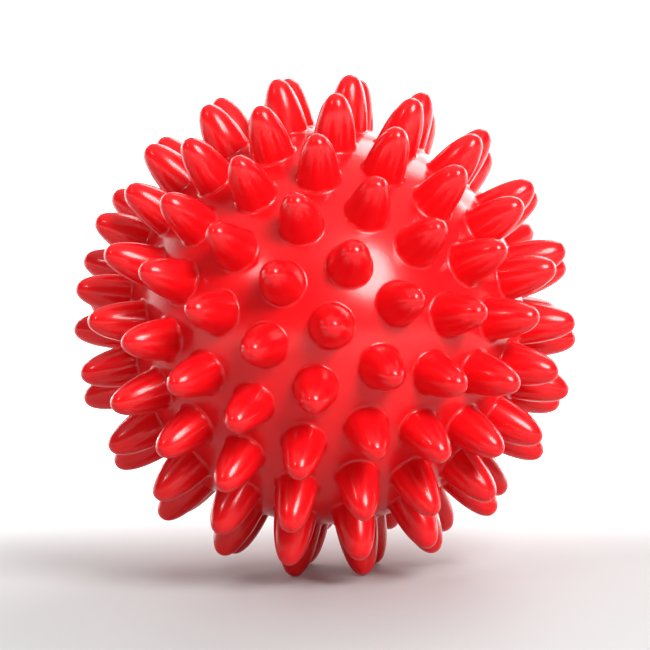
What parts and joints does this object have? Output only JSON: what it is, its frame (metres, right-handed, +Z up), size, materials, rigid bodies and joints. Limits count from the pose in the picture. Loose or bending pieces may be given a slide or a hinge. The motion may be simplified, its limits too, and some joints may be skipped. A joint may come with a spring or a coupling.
{
  "type": "spiked massage ball",
  "caption": "Hollow soft-plastic ball covered all over in rounded spikes, rolled under a hand or foot to massage it, with a push-in air plug in a flanged valve insert.",
  "frame": {"origin": "centre of the ball", "axes": "+Z up with the ball lying on its lowest spikes; -Y towards the pictured side; the valve faces away from it, 210 degrees round from -Y towards +X and 19.7 degrees above level; the mould axis leaves the ball near +X, a little below level"},
  "size_m": [0.0896, 0.0896, 0.0886],
  "materials": {
    "shell_pvc": "very glossy, slightly translucent soft PVC, bright red",
    "insert_pvc": "satin soft PVC, darker red",
    "plug_polyethylene": "satin polyethylene, natural white"
  },
  "bodies": {
    "ball": {"spiked_shell": "shell_pvc", "valve_insert": "insert_pvc"},
    "plug": {"valve_plug": "plug_polyethylene"}
  },
  "joints": [
    {"name": "plug_pull", "type": "slide", "parent": "ball", "child": "plug", "axis": [-0.4709, 0.8155, 0.3364], "range_m": [0, 0.022]}
  ]
}
